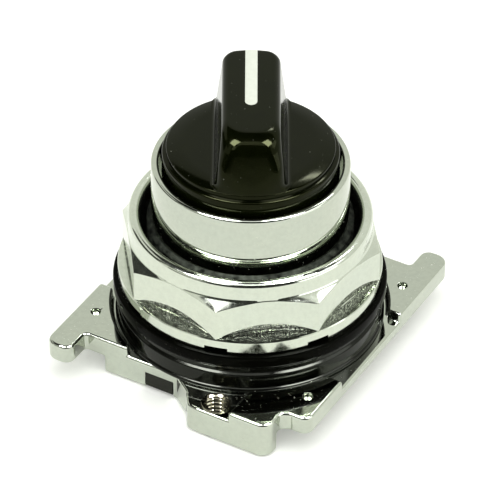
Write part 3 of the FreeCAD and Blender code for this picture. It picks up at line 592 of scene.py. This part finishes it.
def make_bushing():
    """Boss, threaded neck, plain collar and the bore the knob sits in, with the shaft's web."""
    thread = []
    z = BOSS_TOP + 1.2
    while z + THREAD_PITCH < THREAD_END:
        thread += [(THREAD_R, z), (THREAD_MINOR, z + 0.55),
                   (THREAD_MINOR, z + 0.7), (THREAD_R, z + 1.25)]
        z += THREAD_PITCH
    outer = [(CAVITY_R, PLATE_BOTTOM + 0.1), (BOSS_R - 1.2, PLATE_BOTTOM + 0.1),
             (BOSS_R - 1.2, PLATE_TOP - 0.2), (BOSS_R, PLATE_TOP - 0.2), (BOSS_R, BOSS_TOP),
             (THREAD_R, BOSS_TOP)]
    profile = outer + thread + [
        (THREAD_R, THREAD_END - 0.5), (COLLAR_R, THREAD_END), (COLLAR_R, COLLAR_TOP),
        (BORE_R, COLLAR_TOP), (BORE_R, BORE_FLOOR), (BUSH_R, BORE_FLOOR), (BUSH_R, WEB_BOTTOM),
        (CAVITY_R, WEB_BOTTOM)]
    radii = [0] * len(outer) + [0] * len(thread) + [0, 0, 0.42, 0.4, 0, 0, 0, 0]
    radii[4] = 0.5
    profile = rounded(profile, radii, 6)
    points, faces = lathe(profile, BUSHING_STEPS)
    piece = new_piece("threaded_bushing", points, [f[::-1] for f in faces], [CHROME, THREAD_SHADE],
                      "housing", 32, ())
    # Thread faces under the nut take slot 1, the painted shade.
    dark = []
    for (radius, height), after in zip(profile, profile[1:] + profile[:1]):
        in_thread = BOSS_TOP < min(height, after[1]) < THREAD_END - 0.1
        dark.append(1 if in_thread and radius > CAVITY_R + 0.5 else 0)
    piece.data.polygons.foreach_set("material_index", dark * BUSHING_STEPS)
    return piece


plate = make_plate()
make_bushing()
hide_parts("operator_housing")


# =====================================================================
# gaskets and inserts
# =====================================================================

def make_gasket():
    """The flat sealing ring, with rounded outer edges."""
    top, edge = high("panel_gasket")[2], 0.38
    profile = [(THREAD_R, GASKET_Z), (GASKET_R, GASKET_Z), (GASKET_R, top), (THREAD_R, top)]
    points, faces = lathe(rounded(profile, [0, edge, edge, 0], 5), RING_STEPS)
    return new_piece("panel_gasket_ring", points, [f[::-1] for f in faces], RUBBER, "housing", 40,
                     ("panel_gasket",))


def make_boot():
    """The rubber boot over the boss: a foot, a wall, and a groove under the bead at the top."""
    wall = BOSS_R + 0.05
    profile = [(THREAD_R, BOSS_TOP), (wall, BOSS_TOP), (wall, BOOT_Z), (BOOT_R, BOOT_Z),
               (BOOT_R, BOOT_Z + 0.45), (BOOT_R - 0.3, BOOT_Z + 0.67),
               (BOOT_R - 0.3, BOOT_TOP - 1.75), (BOOT_R - 0.75, BOOT_TOP - 1.42),
               (BOOT_R - 0.75, BOOT_TOP - 0.85), (BOOT_R - 0.35, BOOT_TOP - 0.5),
               (BOOT_R - 0.35, BOOT_TOP), (THREAD_R, BOOT_TOP)]
    radii = [0, 0, 0, 0.15, 0.3, 0.2, 0.3, 0.2, 0.15, 0.15, 0.15, 0]
    points, faces = lathe(rounded(profile, radii, 5), RING_STEPS)
    return new_piece("boss_boot_ring", points, [f[::-1] for f in faces], BOOT, "housing", 40,
                     ("boss_boot",))


make_boot()
make_gasket()


def make_insert(name, x, y):
    """A swaged insert with a cut thread inside."""
    bottom, top = low("threaded_inserts")[2], high("threaded_inserts")[2]
    inner = [(INSERT_MINOR, bottom + 0.15 + (top - bottom - 0.55) * i / INSERT_ROWS)
             for i in range(INSERT_ROWS + 1)]
    profile = [(INSERT_R, bottom), (INSERT_R, top - 0.12), (INSERT_R - 0.1, top), (2.06, top)]
    profile += [(r, z) for r, z in reversed(inner)] + [(1.95, bottom)]

    def wave(angle, radius, height):
        if radius != INSERT_MINOR:
            return radius, height
        phase = (height / INSERT_PITCH - angle / (2 * math.pi)) % 1.0
        fade = min(1.0, max(0.0, (top - 0.4 - height) / INSERT_FADE))
        return INSERT_MINOR + INSERT_DEPTH * fade * 0.5 * (1 - math.cos(2 * math.pi * phase)), height

    points, faces = lathe(profile, INSERT_STEPS, wave)
    points = [(px + x, py + y, pz) for px, py, pz in points]
    return new_piece(name, points, [f[::-1] for f in faces], INSERT, "housing", 50, ())


front_insert = make_insert("insert_front", *INSERT_XY)
make_insert("insert_rear", -INSERT_XY[0], -INSERT_XY[1])
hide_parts("threaded_inserts")


# =====================================================================
# mounting nut
# =====================================================================

def nut_columns():
    """Angles round the nut, with a close pair at each side of every notch."""
    angles = set()
    for corner in range(NUT_SIDES):
        base = NUT_TURN + SIDE_ANGLE * corner
        angles |= {round(base + s * (NOTCH_ANGLE + e), 4) for s in (-1, 1) for e in (0.0, 0.05)}
        angles |= {round(base + d * COLUMN_STEP, 4) for d in range(int(SIDE_ANGLE / COLUMN_STEP))}
    return sorted(a % 360.0 for a in angles)


def flat_radius(degrees):
    """Distance from the axis to the octagon's side in that direction."""
    off = (degrees - NUT_TURN) % SIDE_ANGLE - SIDE_ANGLE / 2
    return NUT_APOTHEM / math.cos(math.radians(off))


def notch_rise(degrees):
    """How far the nut's foot is cut up in that direction."""
    off = (degrees - NUT_TURN + SIDE_ANGLE / 2) % SIDE_ANGLE - SIDE_ANGLE / 2
    return NOTCH_DEPTH if abs(off) < NOTCH_ANGLE + 0.02 else 0.0


def nut_column(degrees):
    """The nut's closed section in one direction: foot, flange, recess, side, cone, lip and bore."""
    flat = flat_radius(degrees)
    share = (FLANGE_R - flat) / (FLANGE_R - NUT_APOTHEM)
    arch = FLANGE_TOP + 0.02 + (LENS_TOP - FLANGE_TOP) * share
    deep = min(LENS_DEPTH, 0.5 * (arch - FLANGE_TOP))
    ledge = LEDGE_SHARE * deep
    wide_cone = NUT_COLLAR + 0.35
    slope = CONE_RISE / (FLANGE_R - wide_cone)
    if flat > wide_cone:
        top_z = NUT_APEX + (FLANGE_R - flat) * slope
    else:
        top_z = NUT_APEX + CONE_RISE + (wide_cone - flat) * CONE_SLOPE
    ring_r = min(flat, wide_cone)
    ring_z = max(top_z, NUT_APEX + CONE_RISE)
    z0 = NUT_Z + notch_rise(degrees)
    section = [(NUT_BORE, NUT_Z), (NUT_BORE + 1.2, NUT_Z), (NUT_BORE + 1.2, z0), (FLANGE_R - 0.12, z0),
               (FLANGE_R, z0 + 0.12), (FLANGE_R, FLANGE_TOP - 0.15), (FLANGE_R - 0.1, FLANGE_TOP),
               (min(flat + 0.02, FLANGE_R - 0.1), FLANGE_TOP), (flat - deep + ledge, FLANGE_TOP + 0.01)]
    wall = arch - FLANGE_TOP - 0.03
    section += [(flat - deep + ledge, FLANGE_TOP + 0.01 + wall * 0.36)]
    section += [(flat - deep, FLANGE_TOP + 0.01 + wall * up) for up in (0.40, 0.6, 0.8)]
    section += [(flat - deep * 0.85, arch - 0.02), (flat, arch + 0.05)]
    section += [(flat, arch + 0.05 + (top_z - 0.1 - arch - 0.05) * s / 3) for s in (1, 2)]
    section += [(flat, top_z - 0.1), (flat - 0.09, top_z + 0.02)]
    section += [(max(ring_r - 0.1, NUT_COLLAR + 0.06), ring_z + 0.03),
                (NUT_COLLAR + 0.04, NUT_APEX + 1.33), (NUT_COLLAR, NUT_APEX + 1.5),
                (NUT_COLLAR, NUT_TOP - NUT_LIP - 0.3)]
    section += arc((NUT_COLLAR - NUT_LIP, NUT_TOP - NUT_LIP), NUT_LIP, 0, 90, 8)
    section += arc((NUT_RECESS + NUT_LIP, NUT_TOP - NUT_LIP), NUT_LIP, 90, 180, 8)
    section += [(NUT_RECESS, NUT_RECESS_FLOOR + 0.2), (NUT_RECESS - 0.1, NUT_RECESS_FLOOR),
                (NUT_BORE + 0.1, NUT_RECESS_FLOOR - 0.75), (NUT_BORE, NUT_RECESS_FLOOR - 0.9)]
    return section


def nut_step_material(k, count):
    """0 for bright plate, 1 for the recess's cast wall and 2 for painted shade on the recess's inner wall
    and floor, the threaded bore and the bottom ring beside it.
    """
    ledge_step, recess_steps = 9, range(8, 14)
    if k in recess_steps and k != ledge_step:
        return 1
    return 2 if k >= count - 5 or k < 1 else 0


def make_nut():
    """The ring nut, as one closed section for each column, joined all the way round."""
    angles = nut_columns()
    points, faces, finishes_and_shade = [], [], []
    sections = [nut_column(a) for a in angles]
    count = len(sections[0])
    for degrees, section in zip(angles, sections):
        a = math.radians(degrees)
        points += [(r * math.cos(a), r * math.sin(a), z) for r, z in section]
    for s in range(len(angles)):
        t = (s + 1) % len(angles)
        for k in range(count):
            m = (k + 1) % count
            faces.append((s * count + k, t * count + k, t * count + m, s * count + m))
            finishes_and_shade.append(nut_step_material(k, count))
    # Slot 2 is the painted shade down in the recess and the bore.
    nut = new_piece("ring_nut", points, faces, [NUT_CHROME, CAST, THREAD_SHADE], "housing", 24,
                    ("mounting_nut",))
    nut.data.polygons.foreach_set("material_index", finishes_and_shade)
    return nut


make_nut()


# =====================================================================
# knob
# =====================================================================

def rounding(depth, radius):
    """How far a rounded edge draws in at a depth below its top."""
    if depth >= radius:
        return 0.0
    return radius - math.sqrt(max(radius ** 2 - (radius - depth) ** 2, 0.0))


def front_reach(height):
    """Reach of the grip's sloping front at a height, up over the rounded nose."""
    slope = math.radians(NOSE_SLOPE)
    centre_z = KNOB_TOP - NOSE_ROUND
    join = centre_z + NOSE_ROUND * math.sin(slope)

    def flat(z):
        return GRIP_FRONT - (z - DISC_TOP) * math.tan(slope)

    if height <= join:
        return flat(height)
    centre = flat(join) - NOSE_ROUND * math.cos(slope)
    return centre + math.sqrt(max(NOSE_ROUND ** 2 - (height - centre_z) ** 2, 0.0))


def soft_least(a, b, blend):
    """The lesser of two lengths, with the step between them rounded."""
    h = max(0.0, min(1.0, 0.5 + 0.5 * (b - a) / blend))
    return b * (1 - h) + a * h - blend * h * (1 - h)


def grip_layer(height):
    """The grip's outline at one height, as (across, along) points all the way round."""
    share = max(0.0, (height - DISC_TOP) / (KNOB_TOP - DISC_TOP))
    depth = KNOB_TOP - height
    foot = max(0.0, 1 - max(0.0, height - DISC_TOP) / FLARE)
    side = GRIP_FOOT + (GRIP_TOP - GRIP_FOOT) * share - rounding(depth, SIDE_ROUND)
    side += FLARE_SPREAD * (1 - math.sqrt(max(0.0, 1 - foot ** 2)))
    front_corner = FRONT_CORNER_FOOT + FRONT_CORNER_GAIN * share ** 2.5
    front_corner -= 0.5 * rounding(depth, SIDE_ROUND)
    back_corner = BACK_CORNER_FOOT + (GRIP_BACK_CORNER - BACK_CORNER_FOOT) * share ** 2
    back_corner -= rounding(depth, BACK_ROUND)
    end = GRIP_FRONT - rounding(depth, BACK_ROUND)
    nose = front_reach(height)

    def back(x):
        return math.sqrt(end ** 2 - x ** 2)

    def front(x):
        return soft_least(nose, math.sqrt(GRIP_FRONT ** 2 - x ** 2), 0.25)

    half = []
    for i in range(6):
        x = (side - back_corner) * i / 6
        half.append((x, back(x)))
    for i in range(10):
        a = math.radians(90 * i / 9)
        x = side - back_corner * (1 - math.sin(a))
        half.append((x, back(x) - back_corner * (1 - math.cos(a))))
    y_from = half[-1][1]
    y_to = front_corner - front(side)
    half += [(side, y_from + (y_to - y_from) * i / SIDE_STEPS) for i in range(1, SIDE_STEPS)]
    for i in range(11):
        a = math.radians(90 - 90 * i / 10)
        x = side - front_corner * (1 - math.sin(a))
        half.append((x, front_corner * (1 - math.cos(a)) - front(x)))
    for i in range(1, 7):
        x = (side - front_corner) * (1 - i / 6)
        half.append((x, -front(x)))
    return half + [(-x, y) for x, y in reversed(half[1:-1])]


def make_grip():
    """The bar grip, as layers from inside the disc up to the flat of its crest."""
    heights = [KNOB_SHOULDER + 0.25, DISC_TOP - 0.5, DISC_TOP - 0.05]
    heights += [DISC_TOP + FLARE * (1 - math.cos(math.radians(90 * i / FLARE_STEPS)))
                for i in range(FLARE_STEPS + 1)]
    nose_foot = KNOB_TOP - NOSE_ROUND * (1 - math.sin(math.radians(NOSE_SLOPE)))
    heights += [DISC_TOP + FLARE + (nose_foot - DISC_TOP - FLARE) * i / SIDE_STEPS
                for i in range(1, SIDE_STEPS + 1)]
    slope = math.radians(90 - NOSE_SLOPE)
    heights += [KNOB_TOP - NOSE_ROUND * (1 - math.cos(slope * (1 - i / NOSE_STEPS)))
                for i in range(1, NOSE_STEPS + 1)]
    points, faces = [], []
    for height in heights:
        layer = grip_layer(min(height, KNOB_TOP - 0.00001))
        points += [(x, y, height) for x, y in layer]
    width = len(layer)
    for s in range(len(heights) - 1):
        for k in range(width):
            m = (k + 1) % width
            faces.append((s * width + k, (s + 1) * width + k, (s + 1) * width + m, s * width + m))
    faces.append(tuple(range(width)))
    top = (len(heights) - 1) * width
    faces.append(tuple(top + k for k in reversed(range(width))))
    return turn_about_axis(points), faces


def turn_about_axis(points):
    """Turns points from the knob's own directions to where it stands at rest."""
    a = math.radians(REST_TURN)
    return [(x * math.cos(a) - y * math.sin(a), x * math.sin(a) + y * math.cos(a), z)
            for x, y, z in points]


def make_knob():
    """The knob's skirted disc, hollow below and a little domed, and its grip."""
    inside = KNOB_R - KNOB_WALL
    profile = [(SCREW_HOLE_R, HUB_BOTTOM), (HUB_R, HUB_BOTTOM), (HUB_R, KNOB_CEILING),
               (inside, KNOB_CEILING), (inside, KNOB_BOTTOM), (KNOB_R, KNOB_BOTTOM),
               (KNOB_R, KNOB_SHOULDER), (KNOB_RIM + 0.02, KNOB_SHOULDER + 0.12),
               (KNOB_RIM, KNOB_SHOULDER + 0.3), (KNOB_RIM, DISC_TOP - DOME_DROP)]
    radii = [0, 0, 0, 0, 0, 0.2, 0.3, 0, 0, 0.3]
    dome = []
    for i in range(1, 13):
        share = i / 12
        dome.append((KNOB_RIM + (DOME_START - KNOB_RIM) * share, DISC_TOP - DOME_DROP * (1 - share) ** 2))
    profile = rounded(profile + dome + [(SCREW_HOLE_R, DISC_TOP)], radii + [0] * 13, 5)
    points, faces = lathe(profile, RING_STEPS)
    new_piece("knob_disc", points, [f[::-1] for f in faces], BLACK, "rotor", 35, ("knob",))
    points, faces = make_grip()
    new_piece("knob_grip", points, faces, BLACK, "rotor", 55, ())


def make_line():
    """The white line let into the crest of the grip, from its back edge to a rounded front end."""
    back = GRIP_FRONT
    rows = []
    for i in range(9):
        a = math.radians(90 * i / 8)
        rows.append((-LINE_FRONT + LINE_HALF * (1 - math.cos(a)), LINE_HALF * math.sin(a)))
    straight = back - BACK_ROUND + LINE_FRONT - LINE_HALF
    rows += [(-LINE_FRONT + LINE_HALF + straight * i / 10, LINE_HALF) for i in range(1, 11)]
    rows = [(along, half, 0.0) for along, half in rows]
    rows += [(back - BACK_ROUND, LINE_HALF, tilt) for tilt in range(10, 91, 10)]
    points, faces = [], []
    for along, half, tilt in rows:
        half = max(half, 0.02)
        run, climb = math.sin(math.radians(tilt)), math.cos(math.radians(tilt))
        for x, out in ((-half, -0.5), (-half, -0.02), (-half * 0.92, 0.03),
                       (half * 0.92, 0.03), (half, -0.02), (half, -0.5)):
            reach = BACK_ROUND + out
            points.append((x, along + run * reach, KNOB_TOP - BACK_ROUND + climb * reach))
    for s in range(len(rows) - 1):
        for k in range(6):
            m = (k + 1) % 6
            faces.append((s * 6 + k, s * 6 + m, (s + 1) * 6 + m, (s + 1) * 6 + k))
    faces += [tuple(range(6))[::-1], tuple(range((len(rows) - 1) * 6, len(rows) * 6))]
    return new_piece("knob_line", turn_about_axis(points), faces, WHITE, "rotor", 40,
                     ("indicator_insert",))


make_knob()
make_line()


# =====================================================================
# plunger spring
# =====================================================================

def make_coil(node, turns, wire):
    """A plunger's return spring, built as one fixed coil over the height of its node; the real one
    shortens as the knob turns and its plunger comes down.
    """
    foot, top = low(node), high(node)
    x = (foot[0] + top[0]) / 2
    mean = (top[0] - foot[0]) / 2 - wire
    rise = top[2] - foot[2] - 2 * wire
    steps, sides = 64 * turns, 14
    lead = math.atan2(rise, 2 * math.pi * mean * turns)
    points, faces = [], []
    for s in range(steps + 1):
        a = 2 * math.pi * turns * s / steps
        out = Vector((math.cos(a), math.sin(a), 0))
        across = Vector((math.sin(a) * math.sin(lead), -math.cos(a) * math.sin(lead), math.cos(lead)))
        middle = Vector((x, 0, foot[2] + wire + rise * s / steps)) + out * mean
        for k in range(sides):
            b = 2 * math.pi * k / sides
            points.append(tuple(middle + out * wire * math.cos(b) + across * wire * math.sin(b)))
    for s in range(steps):
        for k in range(sides):
            m = (k + 1) % sides
            faces.append((s * sides + k, (s + 1) * sides + k, (s + 1) * sides + m, s * sides + m))
    faces += [tuple(range(sides)), tuple(steps * sides + k for k in reversed(range(sides)))]
    coil = new_piece("return_spring_right", points, faces, STEEL, "housing", 50, (node,))
    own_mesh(coil)
    return coil


make_coil("plunger_spring_right", 3, 0.22)


# =====================================================================
# carried-over pieces
# =====================================================================

CARRIED = {
    STEEL: ("rotor_shaft", "seal_washer", "retaining_ring", "knob_screw", "cam_pins", "detent_ring",
            "detent_balls", "stop_pins", "plunger_spring_left", "detent_springs", "guide_screws"),
    BRASS: ("shaft_bush",),
    RUBBER: ("shaft_seal",),
    MOULDED: ("swash_cam", "plunger_left", "plunger_right", "plunger_guide"),
}
for material, names in CARRIED.items():
    for name in names:
        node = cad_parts[name]
        node.data.materials.clear()
        node.data.materials.append(material)


# =====================================================================
# stage, lights and camera
# =====================================================================

def make_floor():
    mesh = bpy.data.meshes.new("floor")
    half = 1.6
    corners = [(-half, -half, 0), (half, -half, 0), (half, half, 0), (-half, half, 0)]
    mesh.from_pydata(corners, [], [(0, 1, 2, 3)])
    floor = bpy.data.objects.new("floor", mesh)
    bpy.context.scene.collection.objects.link(floor)
    floor.location.z = cad_low.z - 0.00002
    m = Nodes("pale_floor")
    m.link(m.ramp(m.noise(3, 3), [(0.3, (0.93, 0.93, 0.925)), (0.7, (0.95, 0.95, 0.945))]), "Base Color")
    m.set(Roughness=0.85, Emission_Color=(1.0, 1.0, 0.99, 1.0), Emission_Strength=0.2)
    floor.data.materials.append(m.material)
    return floor


def make_card(name, centre, toward, width, height, tone, strength=0.0):
    """A flat card that shows in reflections only."""
    mesh = bpy.data.meshes.new(name)
    w, h = width / 2, height / 2
    mesh.from_pydata([(-w, -h, 0), (w, -h, 0), (w, h, 0), (-w, h, 0)], [], [(0, 1, 2, 3)])
    card = bpy.data.objects.new(name, mesh)
    bpy.context.scene.collection.objects.link(card)
    card.location = centre
    card.rotation_mode = "QUATERNION"
    card.rotation_quaternion = (Vector(toward) - Vector(centre)).to_track_quat("Z", "Y")
    m = Nodes(f"{name}_tone")
    m.set(Base_Color=(*tone, 1.0), Roughness=0.9)
    if strength:
        m.set(Emission_Color=(*tone, 1.0), Emission_Strength=strength)
    card.data.materials.append(m.material)
    card.visible_camera = False
    card.visible_shadow = False
    card.visible_diffuse = False
    return card


def make_light(name, centre, toward, size, power):
    """A soft square lamp that doesn't show in reflections."""
    data = bpy.data.lights.new(name, "AREA")
    data.shape = "SQUARE"
    data.size = size
    data.energy = power
    light = bpy.data.objects.new(name, data)
    bpy.context.scene.collection.objects.link(light)
    light.location = centre
    light.rotation_mode = "QUATERNION"
    light.rotation_quaternion = (Vector(centre) - Vector(toward)).to_track_quat("Z", "Y")
    light.visible_glossy = False
    return light


def make_world(tone, strength):
    world = bpy.data.worlds.new("tent")
    bpy.context.scene.world = world
    world.use_nodes = True
    shader = world.node_tree.nodes["Background"]
    shader.inputs["Color"].default_value = (*tone, 1.0)
    shader.inputs["Strength"].default_value = strength


LAMP = (1.0, 1.0, 1.03)
DARK = (0.012, 0.013, 0.010)
CAMERA_LENS = 281.6
VIEW_AZIMUTH = 29.77
VIEW_ELEVATION = 38.34
VIEW_ROLL = 0.39
VIEW_DISTANCE = 0.5626
VIEW_TARGET = Vector((0.0022, -0.0039, 0.0185))


def view_direction():
    """From the target towards the camera."""
    a, e = math.radians(VIEW_AZIMUTH), math.radians(VIEW_ELEVATION)
    return Vector((math.sin(a) * math.cos(e), -math.cos(a) * math.cos(e), math.sin(e)))


def make_camera():
    data = bpy.data.cameras.new("camera")
    data.lens = CAMERA_LENS
    data.sensor_width = 36.0
    data.clip_start = 0.01
    camera = bpy.data.objects.new("camera", data)
    bpy.context.scene.collection.objects.link(camera)
    back = view_direction()
    camera.location = VIEW_TARGET + back * VIEW_DISTANCE
    look = (-back).to_track_quat("-Z", "Y")
    camera.rotation_mode = "QUATERNION"
    camera.rotation_quaternion = look @ Matrix.Rotation(math.radians(VIEW_ROLL), 3, "Z").to_quaternion()
    bpy.context.scene.camera = camera
    return camera


def from_view(right, away, up, distance):
    """A place round the object, given along axes square to the view's azimuth."""
    a = math.radians(VIEW_AZIMUTH)
    direction = Vector((right * math.cos(a) - away * math.sin(a),
                        right * math.sin(a) + away * math.cos(a), up))
    return centre + direction.normalized() * distance


centre = (cad_low + cad_high) / 2
bpy.context.scene.view_settings.view_transform = "Standard"
make_floor()
make_camera()
make_world((0.98, 1.0, 0.93), 1.0)
# Cards that the chrome and the gloss reflect: dark ones first, then lit ones.
low_centre = centre + Vector((0, 0, 0.03))
raise_low = Vector((0, 0, 0.025))
make_card("overhead_dark", centre + Vector((0, 0, 1.0)), centre, 1.9, 1.3, (0.004, 0.004, 0.004))
make_card("camera_side_dark", from_view(0, -0.80, 0.46, 1.0), centre, 1.5, 1.3, DARK)
make_card("left_side_dark", from_view(-0.92, 0.24, 0.33, 0.8), centre, 0.6, 0.34, DARK)
make_card("low_dark", from_view(0, -1, 0, 0.19) + Vector((0, 0, 0.03)), low_centre, 0.36, 0.09, DARK)
make_card("left_low_grey", from_view(-0.80, -0.60, 0, 0.21) + raise_low, centre, 0.14, 0.06,
          (0.16, 0.17, 0.15))
make_card("right_low_fill", from_view(0.85, -0.52, 0, 0.21) + raise_low, centre, 0.14, 0.06, LAMP, 1.5)
make_card("right_high_fill", from_view(0.98, -0.17, 0.78, 0.75), centre, 0.34, 0.22, LAMP, 2.3)
make_card("left_high_dim", from_view(-0.98, -0.17, 0.78, 0.75), centre, 0.34, 0.22, (0.10, 0.11, 0.09))
make_card("left_lamp", from_view(-0.37, -0.27, 0.89, 0.7), centre, 0.30, 0.29, LAMP, 36.0)
make_card("right_lamp", from_view(0.40, -0.27, 0.88, 0.7), centre, 0.30, 0.29, LAMP, 36.0)
make_card("front_fill", from_view(0.0, -0.46, 0.89, 0.75), centre, 0.30, 0.24, LAMP, 1.3)
make_card("left_fill", from_view(-0.37, -0.65, 0.666, 0.75), centre, 0.22, 0.22, LAMP, 1.6)
make_card("back_lamp", from_view(0.24, 0.60, 0.755, 0.7), centre, 0.12, 0.04, LAMP, 22.0)
make_light("soft_box", from_view(0.1, 0.3, 0.9, 0.9), centre, 0.8, 1.6)
